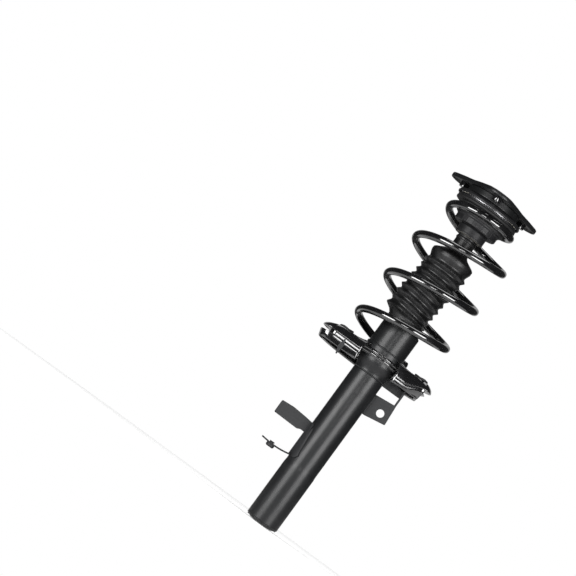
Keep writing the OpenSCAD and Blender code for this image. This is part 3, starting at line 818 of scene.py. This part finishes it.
def hose_flag(middle, reach):
    """The flat plate that stands out from the saddle's upper end."""
    flag = sheet_metal("hose_flag", [
        (-reach, middle + 8 * MM),
        (-TUBE_R - 13 * MM, middle + 7.2 * MM),
        (-TUBE_R - 9 * MM, middle + 9.5 * MM),
        (-TUBE_R + 1.5 * MM, middle + 9.5 * MM),
        (-TUBE_R + 1.5 * MM, middle + 27 * MM),
        (-TUBE_R - 12 * MM, middle + 28.5 * MM),
        (-reach * 0.75, middle + 30 * MM),
        (-reach, middle + 28.5 * MM),
    ], SHEET, "bracket_coat", "strut", reach=2.2 * MM, place=Matrix.Translation((0, -SHEET * 1.5, 0)))
    bevelled(flag, 0.5 * MM)


def hose_leaf(low, reach):
    """The curved strip below, which takes the button."""
    half_wide, steps, sides = 9 * MM, 32, 16
    rings = []
    for k in range(steps + 1):
        t = k / steps
        x = -reach + 7 * MM + (reach - TUBE_R - 6 * MM) * t
        dip = -1.6 * MM * math.sin(math.pi * t) + 1.8 * MM * t ** 3
        half = half_wide * (1 - 0.18 * (1 - t) ** 3)
        ring = []
        for i in range(sides):
            face = 1 if 0 < i < sides / 2 else -1 if i > sides / 2 else 0
            y = -half_wide + half * math.cos(TURN * i / sides)
            ring.append(Vector((x, y, low + SHEET / 2 + dip + (SHEET / 2) * face)))
        rings.append(ring)
    points, faces = skin(rings, closed=False, capped=True)
    leaf = piece("hose_leaf", points, faces, "bracket_coat", "strut")
    bevelled(leaf, 0.4 * MM, 2, 50)


def hose_bracket():
    """A stamped bracket: a saddle on the tube, a flag above and a leaf below, with two welds."""
    middle = foot("hose_button") + 37 * MM
    reach = -box("hose_bracket")[0].x
    saddle_low, saddle_high = middle - 29 * MM, middle + 27 * MM
    hose_saddle(saddle_low, saddle_high)
    hose_flag(middle, reach)
    hose_leaf(middle - 31 * MM, reach)
    r = TUBE_R + 0.6 * MM
    front, side, shift, steps = math.pi + math.radians(47), math.pi - 0.10, math.radians(13), 90
    slanted = [around(r, front + shift * (0.5 - k / steps), saddle_low + 6 * MM + 44 * MM * k / steps)
               for k in range(steps + 1)]
    upright = straight_path(around(r, side, saddle_low + 3 * MM), around(r, side, saddle_high - 2 * MM))
    weld("hose_weld_front", slanted, 1.3 * MM, "strut", seed=17.0, finish="bracket_coat")
    weld("hose_weld_side", upright, 1.3 * MM, "strut", seed=19.0, finish="bracket_coat")


def hose_button():
    """The round button pushed through the leaf."""
    low, high = box("hose_button")
    middle = (low + high) / 2
    r = (high.x - low.x) / 2
    leaf = high.z - 3.2 * MM
    outline = [
        (0, low.z), (r - 1.6 * MM, low.z), (r, low.z + 1.4 * MM), (r, leaf - 0.1 * MM),
        (r * 0.5, leaf), (r * 0.5, leaf + 2.2 * MM), (r * 0.68, leaf + 2.3 * MM),
        (r * 0.6, high.z), (0, high.z),
    ]
    turned("hose_rivet", outline, "bracket_coat", "strut", "hose_button", reach=0.6 * MM, sides=64,
           closed=False, shape=lambda place, a: place + Vector((middle.x, middle.y, 0)))


# Coil spring

def climb(a):
    """The share of its climb that the wire has made at an angle, gentle at both ends."""
    ease_in, ease_out = 90, 157
    x, whole = a - CLIMB_START, CLIMB_END - CLIMB_START
    steady = whole - ease_in / 2 - ease_out / 2
    if x <= 0:
        return 0.0
    if x >= whole:
        return 1.0
    if x < ease_in:
        return x * x / (2 * ease_in * steady)
    if x > whole - ease_out:
        return 1 - (whole - x) ** 2 / (2 * ease_out * steady)
    return (x - ease_in / 2) / steady


def wire_point(a):
    """The wire's middle at an angle in degrees. The coils lean and shift a little; the top one is narrow."""
    narrow = smooth((a - NARROW_START) / NARROW_OVER)
    r = COIL_R + (COIL_TOP_R - COIL_R) * narrow
    lean = smooth(a / 180) * (1 - narrow)
    shift = 4.3 * MM * smooth(a / NARROW_START) * (1 - narrow)
    q = math.radians(a)
    x = r * math.cos(q)
    rise = WIRE_LOW + (WIRE_HIGH - WIRE_LOW) * climb(a)
    return Vector((x + shift, r * math.sin(q), rise - x * math.tan(COIL_LEAN) * lean))


def round_wire(made, r, sides, finish):
    """A modifier that makes a round wire of a chain of edges, however the chain is squashed."""
    group = bpy.data.node_groups.new("round_wire", "GeometryNodeTree")
    group.interface.new_socket("Geometry", in_out="INPUT", socket_type="NodeSocketGeometry")
    group.interface.new_socket("Geometry", in_out="OUTPUT", socket_type="NodeSocketGeometry")
    kinds = ["NodeGroupInput", "GeometryNodeMeshToCurve", "GeometryNodeCurveToMesh",
             "GeometryNodeSetShadeSmooth", "GeometryNodeSetMaterial", "NodeGroupOutput"]
    steps = [group.nodes.new(kind) for kind in kinds]
    for before, after in zip(steps, steps[1:]):
        group.links.new(before.outputs[0], after.inputs[0])
    circle = group.nodes.new("GeometryNodeCurvePrimitiveCircle")
    circle.inputs["Resolution"].default_value = sides
    circle.inputs["Radius"].default_value = r
    group.links.new(circle.outputs[0], steps[2].inputs["Profile Curve"])
    steps[2].inputs["Fill Caps"].default_value = True
    steps[4].inputs["Material"].default_value = PAINTS[finish]
    made.modifiers.new("round_wire", "NODES").node_group = group
    return made


def coil_spring():
    """The spring, a chain of points that gets its round wire afterwards."""
    step = 3
    path = [wire_point(WIRE_START + step * k) for k in range((WIRE_END - WIRE_START) // step + 1)]
    mesh = bpy.data.meshes.new("spring_wire")
    mesh.from_pydata(path, [(k, k + 1) for k in range(len(path) - 1)], [])
    wire = bpy.data.objects.new("spring_wire", mesh)
    bpy.context.scene.collection.objects.link(wire)
    mesh.materials.append(PAINTS["gloss_coat"])
    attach(wire, "strut")
    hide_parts("coil_spring")
    round_wire(wire, WIRE_R, 28, "gloss_coat")
    length = WIRE_HIGH - path[0].z
    (length - STROKE) / length
    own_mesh(wire)


# Dust boot and bump stop

def boot_bend(place, a):
    """The boot's lower folds sag to one side, and its cuff comes back to the tube."""
    t = (FOLDS_HIGH - place.z) / (FOLDS_HIGH - BOOT_LOW)
    if t <= 0:
        return place
    sag = 7.5 * MM * smooth(t / 0.86) * (1 - smooth((t - 0.86) / 0.12))
    slope = 0.12 * smooth(t / 0.7) * (1 - smooth((t - 0.80) / 0.14))
    lumps = 0.35 * MM * noise.noise(Vector((place.z * 90, math.cos(a) * 1.3, math.sin(a) * 1.3)))
    out = Vector((math.cos(a), math.sin(a), 0)) * lumps * smooth(t / 0.1)
    return Vector((place.x - sag, place.y, place.z - place.x * slope)) + out


def boot_piece(name, outside, body, *nodes):
    """A stretch of the boot: its outer outline and the same outline one wall further in."""
    wall = 1.3 * MM
    inside = [(r - wall, z) for r, z in reversed(outside)]
    return turned(name, outside + inside, "boot_rubber", body, *nodes, reach=0.9 * MM, sides=128,
                  shape=boot_bend)


def dust_boot():
    """The cuff stays on the tube, the neck stays on the bump stop, and the folds lie between them."""
    low, high, head = BOOT_LOW, top("dust_boot"), STOP_CUP_LOW
    cuff_top, neck_low = low + 8 * MM, head - 26 * MM
    fold_low, fold_high = TUBE_TOP + 17 * MM, FOLDS_HIGH
    folds, boot_r, depth = 9, radius("dust_boot"), 4.2 * MM
    cuff_r, neck = 28.4 * MM, 15.5 * MM
    cuff_rib = cuff_r + 0.7 * MM
    pitch = (fold_high - fold_low) / folds
    boot_piece("boot_cuff", [
        (cuff_r, low), (cuff_r, low + 2 * MM), (cuff_rib, low + 3 * MM),
        (cuff_rib, low + 4.4 * MM), (cuff_r, low + 5.4 * MM), (cuff_r + 0.1 * MM, cuff_top),
    ], "strut")
    outside = [(cuff_r, cuff_top - 0.5 * MM), (cuff_r + 0.2 * MM, cuff_top + 2 * MM)]
    for k in range(folds):
        z = fold_low + k * pitch
        crest = boot_r - 0.15 * MM - (0.5 * MM if k % 3 == 1 else 0)
        outside += [(crest - 0.7 * MM, z - 0.9 * MM), (crest, z), (crest - 0.7 * MM, z + 0.9 * MM)]
        valley = z + pitch / 2
        outside += [(boot_r - depth, valley - 1 * MM), (boot_r - depth, valley + 1 * MM)]
    outside += [
        (boot_r - 1.6 * MM, fold_high + 2 * MM),
        (boot_r - 1.0 * MM, fold_high + 4 * MM),
        (boot_r - 1.0 * MM, fold_high + 8.5 * MM),
        (boot_r - 3.0 * MM, fold_high + 10.5 * MM),
        (neck + 4.5 * MM, head - 29 * MM),
        (neck + 1.2 * MM, neck_low),
    ]
    bellows = boot_piece("boot_folds", outside, "upper_seat", "dust_boot")
    length = neck_low - cuff_top
    (length - STROKE) / length
    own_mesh(bellows)
    boot_piece("boot_neck", [
        (neck + 1.3 * MM, neck_low - 0.5 * MM), (neck, head - 22 * MM), (neck, head - 8 * MM),
        (neck + 1.0 * MM, head - 7 * MM), (neck + 1.0 * MM, head - 4.5 * MM),
        (neck, head - 3.5 * MM), (neck, high),
    ], "upper_seat")


def bump_cup():
    """The cup that holds the bump stop's head."""
    low, high = box("bump_stop_cup")
    r, wall, hole = radius("bump_stop_cup"), 1.3 * MM, 13 * MM
    outline = [
        (r - wall, low.z), (r, low.z), (r + 0.2 * MM, low.z + 1.4 * MM), (r, low.z + 2.6 * MM),
        (r, high.z - 2.2 * MM), (r - 1.6 * MM, high.z), (hole, high.z),
        (hole, high.z - wall), (r - wall, high.z - wall),
    ]
    turned("bump_cup", outline, "seat_plastic", "upper_seat", "bump_stop_cup", reach=0.7 * MM)


# Upper seat

def upper_seat():
    """The stepped plastic bell that the spring's top turn sits round."""
    low, high = foot("upper_spring_seat"), top("upper_spring_seat")
    edge = radius("upper_spring_seat")
    hole, rib_from, ribs_round = 14 * MM, 24 * MM, 24
    wall = COIL_TOP_R - WIRE_R - 6.8 * MM
    flange = high - 2.4 * MM

    def ribs(place, a):
        """Shallow ribs round the lower step."""
        if place.z > low + 9 * MM or math.hypot(place.x, place.y) < rib_from:
            return place
        push = 0.35 * MM * max(0, math.cos(ribs_round * a)) ** 6
        return place + around(1, a, 0) * push

    outline = [
        (hole, low), (wall - 3.4 * MM, low), (wall - 2.4 * MM, low + 1.2 * MM),
        (wall - 2.2 * MM, low + 8 * MM), (wall, low + 10 * MM), (wall, flange - 0.1 * MM),
        (edge, flange), (edge, high), (wall - 3 * MM, high), (wall - 3 * MM, low + 11 * MM),
        (wall - 5 * MM, low + 9 * MM), (wall - 5.5 * MM, low + 3 * MM), (hole, low + 3 * MM),
    ]
    turned("upper_seat_bell", outline, "seat_plastic", "upper_seat", "upper_spring_seat",
           reach=0.7 * MM, sides=288, shape=ribs)


def spring_isolator():
    """The rubber between the spring's top turn and its seat, with two soft ribs on its spigot."""
    low, high = foot("upper_isolator"), top("upper_isolator")
    spigot = COIL_TOP_R - WIRE_R - 3.2 * MM
    inner = spigot - 3.6 * MM + 0.02 * MM
    edge = radius("upper_isolator")
    shelf = high - 4.3 * MM
    outline = [
        (inner, low), (spigot - 1.8 * MM, low), (spigot - 0.2 * MM, low + 1.8 * MM),
        (spigot, low + 3.4 * MM), (spigot - 0.9 * MM, low + 4.6 * MM), (spigot, low + 5.8 * MM),
        (spigot, low + 8.5 * MM), (spigot - 0.9 * MM, low + 9.7 * MM), (spigot, low + 10.9 * MM),
        (spigot, shelf), (edge - 1.2 * MM, shelf), (edge, shelf + 1 * MM), (edge, high - 1.3 * MM),
        (edge - 0.8 * MM, high), (inner, high),
    ]
    turned("spring_isolator", outline, "isolator_rubber", "upper_seat", "upper_isolator", reach=0.8 * MM)


# Top mount

def cover_ring():
    """The plastic lid over the bearing."""
    low, high = foot("bearing_cover"), top("bearing_cover")
    r = radius("bearing_cover")
    inner = 32.5 * MM
    outline = [
        (inner, high - 1.5 * MM), (r - 5 * MM, high - 1.5 * MM), (r - 1.8 * MM, high - 2.6 * MM),
        (r - 1.8 * MM, low), (r - 0.6 * MM, low), (r, low + 0.8 * MM), (r, high - 3.4 * MM),
        (r - 0.7 * MM, high - 2.4 * MM), (r - 1.8 * MM, high - 0.6 * MM), (r - 3 * MM, high),
        (inner, high),
    ]
    turned("bearing_lid", outline, "seat_plastic", "top_mount", "bearing_cover", reach=0.6 * MM)


def mount_can():
    """The pressed can that holds the mount's rubber."""
    low, high = foot("mount_can"), top("mount_can")
    r, wall, hole = radius("mount_can"), 2 * MM, 19 * MM
    outline = [
        (hole, low), (r - 2.4 * MM, low), (r, low + 2.4 * MM), (r, high),
        (r - wall, high), (r - wall, low + 3 * MM), (r - 3.4 * MM, low + wall), (hole, low + wall),
    ]
    turned("rubber_can", outline, "tube_paint", "top_mount", "mount_can", reach=0.9 * MM)


def mount_rubber():
    """The rubber between the can and the sleeve, dished on top."""
    low, high = foot("mount_rubber"), top("mount_rubber")
    outer, inner = radius("mount_rubber"), radius("mount_sleeve")
    dip, bore = high - 3.4 * MM, inner + 0.02 * MM
    outline = [
        (bore, low), (outer, low), (outer, high), (outer - 4 * MM, high),
        (outer - 8 * MM, dip), ((inner + outer) / 2, dip - 0.8 * MM), (inner + 5 * MM, dip),
        (bore, high - 0.2 * MM),
    ]
    turned("mount_cushion", outline, "isolator_rubber", "top_mount", "mount_rubber", reach=1.4 * MM)


def plate_edge(a):
    """How far the mount plate reaches at an angle: three lobes and the straight sides between."""
    lobe = -box("mount_plate")[0].y - BOLT_CIRCLE
    half = math.pi / 3
    side = BOLT_CIRCLE * math.cos(half) + lobe
    nearest = min(abs((a - math.radians(q) + math.pi) % TURN - math.pi) for q in LOBES)
    if half - nearest < math.atan2(BOLT_CIRCLE * math.sin(half), side):
        straight = side / max(math.cos(half - nearest), 1e-6)
        return straight - 1.8 * MM * math.cos(min(1, (half - nearest) / 0.55) * math.pi / 2) ** 2
    s = BOLT_CIRCLE * math.sin(nearest)
    return BOLT_CIRCLE * math.cos(nearest) + math.sqrt(max(lobe ** 2 - s ** 2, 0))


def mount_plate():
    """The three-lobed plate: a groove pressed round its hole, and its edge turned down."""
    low, high = box("mount_plate")[0].z, box("mount_plate")[1].z
    hole, edge, count = 30 * MM, 1.6 * MM, 360
    inner = [(hole, high - 0.8 * MM), (hole + 0.8 * MM, high), (hole + 3 * MM, high),
             (hole + 5.5 * MM, high), (hole + 7 * MM, high - 0.5 * MM),
             (hole + 12 * MM, high - 0.5 * MM), (hole + 13.5 * MM, high)]
    under = [(hole + 13.5 * MM, low), (hole + 0.8 * MM, low), (hole, low + 0.8 * MM)]
    rings = []
    for i in range(count):
        a = TURN * i / count
        out = plate_edge(a)
        way = Vector((math.cos(a), math.sin(a), 0))
        outer = [(out - 6 * MM, high), (out - edge, high), (out - 0.5 * MM, high - 0.45 * MM),
                 (out, high - edge), (out, low - 0.6 * MM), (out - 0.6 * MM, low - 1.7 * MM),
                 (out - 1.6 * MM, low - 2 * MM), (out - 2.6 * MM, low - 1.4 * MM),
                 (out - 3.4 * MM, low - 0.2 * MM), (out - 6 * MM, low)]
        rings.append([way * r + Vector((0, 0, z)) for r, z in inner + outer + under])
    points, faces = skin(rings)
    plate = piece("lobed_plate", points, faces, "tube_paint", "top_mount", "mount_plate")
    bored(plate, *[(around(BOLT_CIRCLE, math.radians(q), high), (0, 0, 1), PILOT_R) for q in LOBES])


def hex_nut(name, middle, across, bore, low, high, finish, body, *nodes, turn=0.0, collar=None):
    """A nut: a hexagon whose corners are chamfered to a circle, with a threaded bore."""
    count = 144
    flat, bore_edge, pitch = across / 2, bore + 0.6 * MM, 1.25 * MM
    turns = max(3, int((high - low) / pitch))
    thread = []
    for k in range(turns * 2 + 1):
        groove = 0.45 * MM if k % 2 else 0
        thread.append((bore + groove, low + (high - low) * k / (turns * 2)))
    rings = []
    for i in range(count):
        a = TURN * i / count
        off = (a - turn) % (TURN / 6) - TURN / 12
        r = flat / math.cos(off)
        drop = max(0, r - flat * 1.01) * 0.6
        upper = [(bore_edge, high), (min(r, flat * 0.97), high), (min(r, flat * 1.005), high - drop * 0.2),
                 (r, high - 0.35 * MM - drop), (r, high - 0.9 * MM - drop)]
        lower = [(r, low + 0.6 * MM + drop), (min(r, flat), low)]
        if collar:
            wide, tall = collar
            lower = [(r, low + tall + 0.8 * MM), (r, low + tall + 0.3 * MM), (wide, low + tall),
                     (wide, low + 0.3 * MM), (wide - 0.4 * MM, low)]
        loop = upper + lower + [(bore_edge, low)] + thread
        rings.append([Vector((middle[0] + r * math.cos(a), middle[1] + r * math.sin(a), z)) for r, z in loop])
    points, faces = skin(rings)
    made = piece(name, points, faces, finish, body, *nodes)
    smooth_by_angle(made, 32)
    return made


def smooth_by_angle(made, angle):
    made.data.set_sharp_from_angle(angle=math.radians(angle))


def plate_nuts():
    """The weld nuts under the lobes, each with the pilot that centres it in the plate."""
    low, high, under = foot("weld_nuts"), top("weld_nuts"), foot("mount_plate")
    outline = [(BOLT_R, under), (PILOT_R, under), (PILOT_R, high - 0.4 * MM), (PILOT_R - 0.4 * MM, high),
               (BOLT_R + 0.5 * MM, high), (BOLT_R, high - 0.5 * MM)]
    for k, q in enumerate(LOBES):
        middle = around(BOLT_CIRCLE, math.radians(q), 0)
        nodes = ["weld_nuts"] if k == 0 else []
        hex_nut(f"weld_nut_{k + 1}", middle, 2 * BOLT_R * math.sqrt(3), BOLT_R, low, under,
                "gloss_coat", "top_mount", *nodes, turn=math.radians(q))
        turned(f"nut_pilot_{k + 1}", outline, "gloss_coat", "top_mount", reach=0.3 * MM, sides=64,
               shape=lambda place, a, m=middle: place + m)


def rod_end():
    """The clamp washer and the rod's nut with its collar."""
    low, high = foot("clamp_washer"), top("clamp_washer")
    r, hole = radius("clamp_washer"), STUD_R + 0.1 * MM
    outline = [(hole, low), (r - 0.8 * MM, low), (r, low + 0.7 * MM), (r, high - 0.7 * MM),
               (r - 0.8 * MM, high), (hole, high)]
    turned("top_washer", outline, "zinc_steel", "top_mount", "clamp_washer", reach=0.5 * MM, sides=96)
    low, high = foot("rod_nut"), top("rod_nut")
    hex_nut("top_nut", (0, 0), radius("rod_nut") * 2, STUD_R, low, high, "zinc_steel", "top_mount",
            "rod_nut", collar=(13.6 * MM, 1.6 * MM))


def piston_rod():
    """The chromed rod, its shoulder, its threaded end and the post that takes the piston."""
    low, high = foot("piston_rod"), top("piston_rod")
    rod_r = radius("piston_rod")
    post = foot("rebound_stop")
    shoulder = foot("mount_sleeve")
    post_r, stud, pitch = 5.5 * MM, STUD_R - 0.05 * MM, 1.5 * MM
    outline = [(0, low), (post_r - 0.9 * MM, low), (post_r, low + 1 * MM), (post_r, post), (rod_r, post),
               (rod_r, shoulder - 1 * MM), (rod_r - 1 * MM, shoulder), (stud, shoulder)]
    z = top("mount_sleeve")
    outline.append((stud, z))
    while z + pitch < high - 1.4 * MM:
        outline += [(STUD_R - 0.75 * MM, z + pitch * 0.45), (STUD_R - 0.08 * MM, z + pitch)]
        z += pitch
    outline += [(STUD_R - 1.4 * MM, high), (3 * MM, high), (3 * MM, high - 1.2 * MM), (0, high - 1.8 * MM)]
    rod = turned("chrome_rod", outline, "rod_chrome", "top_mount", "piston_rod", reach=0.25 * MM,
                 sides=96, closed=False)
    smooth_by_angle(rod, 40)


# Parts inside, which keep their CAD shape and take their finish

def paint_the_rest():
    finishes = {s["node"]: s["material_slot"] for s in frame["record"]["subparts"]}
    for node, made in frame["nodes"].items():
        made.data.materials.clear()
        made.data.materials.append(PAINTS[finishes[node]])


# Studio: floor, lights and camera

def plain(name, colour, roughness):
    """A pale, almost even finish that glows a little, so that it stays white far from the lights."""
    p = Paint(name, colour, roughness)
    p.set(**{"Emission Color": (1, 1, 1, 1), "Emission Strength": 0.25})
    tone = p.clouds(0.5, detail=2)
    shade = tuple(c * 0.985 for c in colour)
    return p.finish(p.between(tone, shade, colour), roughness - 0.02 + tone * 0.04)


def backdrop(tree, strength):
    made = tree.nodes.new("ShaderNodeBackground")
    made.inputs["Color"].default_value = (1, 1, 1, 1)
    made.inputs["Strength"].default_value = strength
    return made


def studio():
    """A white world that is dim to all but the camera, and a round pale floor."""
    scene = bpy.context.scene
    scene.view_settings.view_transform = "Standard"
    scene.view_settings.look = "None"
    world = bpy.data.worlds.new("studio")
    scene.world = world
    world.use_nodes = True
    tree = world.node_tree
    tree.nodes.clear()
    out = tree.nodes.new("ShaderNodeOutputWorld")
    mix = tree.nodes.new("ShaderNodeMixShader")
    path = tree.nodes.new("ShaderNodeLightPath")
    tree.links.new(path.outputs["Is Camera Ray"], mix.inputs[0])
    tree.links.new(backdrop(tree, 0.04).outputs[0], mix.inputs[1])
    tree.links.new(backdrop(tree, 1.0).outputs[0], mix.inputs[2])
    tree.links.new(mix.outputs[0], out.inputs["Surface"])

    floor_z = cad_low.z - 0.4 * MM
    count, wide = 96, 0.75
    mesh = bpy.data.meshes.new("studio_floor")
    ring = [around(wide, TURN * i / count, floor_z) for i in range(count)]
    mesh.from_pydata(ring, [], [tuple(range(count))])
    floor = bpy.data.objects.new("studio_floor", mesh)
    scene.collection.objects.link(floor)
    mesh.materials.append(plain("studio_floor", (0.90, 0.90, 0.90), 0.7))


def softbox(name, azimuth, elevation, distance, wide, tall, watts, aim_z):
    """A soft light turned to the strut. Azimuth is from the wheel's side, in degrees, and sizes in metres."""
    a, e = math.radians(azimuth), math.radians(elevation)
    aim = Vector((0, 0, aim_z))
    back = Vector((math.sin(a) * math.cos(e), -math.cos(a) * math.cos(e), math.sin(e)))
    light = bpy.data.lights.new(name, "AREA")
    light.shape = "RECTANGLE"
    light.size, light.size_y = wide, tall
    light.energy = watts
    made = bpy.data.objects.new(name, light)
    made.location = aim + back * distance
    made.rotation_mode = "QUATERNION"
    made.rotation_quaternion = back.to_track_quat("Z", "Y")
    made.visible_camera = False
    bpy.context.scene.collection.objects.link(made)


def lights():
    middle = (cad_low.z + cad_high.z) / 2
    softbox("key_left", -40, 0, 1.3, 0.72, 0.5, 25, middle)
    softbox("key_right", 40, 0, 1.3, 0.72, 0.5, 23, middle)
    softbox("front_strip", 0, 3.7, 1.0, 0.25, 0.16, 2.2, COLLAR_LOW - 4 * MM)
    softbox("back", 180, 12, 1.8, 1.8, 1.4, 3, middle)
    softbox("overhead", 0, 88, 1.5, 1.2, 1.2, 20, middle)


def camera():
    """Long lens, level with the lower tube, rolled so that the strut leans to the right."""
    lean = math.radians(36.2)
    away, view_wide = 3.6, 826 * MM
    eye = Vector((0, -away, 46 * MM))
    aim = Vector((-166.8 * MM, 0, 291.4 * MM))
    data = bpy.data.cameras.new("camera")
    made = bpy.data.objects.new("camera", data)
    bpy.context.scene.collection.objects.link(made)
    forward = (aim - eye).normalized()
    upright = Vector((-math.sin(lean), 0, math.cos(lean)))
    right = forward.cross(upright).normalized()
    over = right.cross(forward)
    made.matrix_world = Matrix.Translation(eye) @ Matrix((right, over, -forward)).transposed().to_4x4()
    data.lens = data.sensor_width * (aim - eye).length / view_wide
    data.clip_start, data.clip_end = 0.05, 60
    bpy.context.scene.camera = made


studio()
lights()
camera()
paint_the_rest()
outer_tube()
base_dome()
seat_pan()
seat_neck()
seat_hook()
spring_pad()
link_bracket()
hose_bracket()
hose_button()
coil_spring()
dust_boot()
bump_cup()
upper_seat()
spring_isolator()
cover_ring()
mount_can()
mount_rubber()
mount_plate()
plate_nuts()
rod_end()
piston_rod()
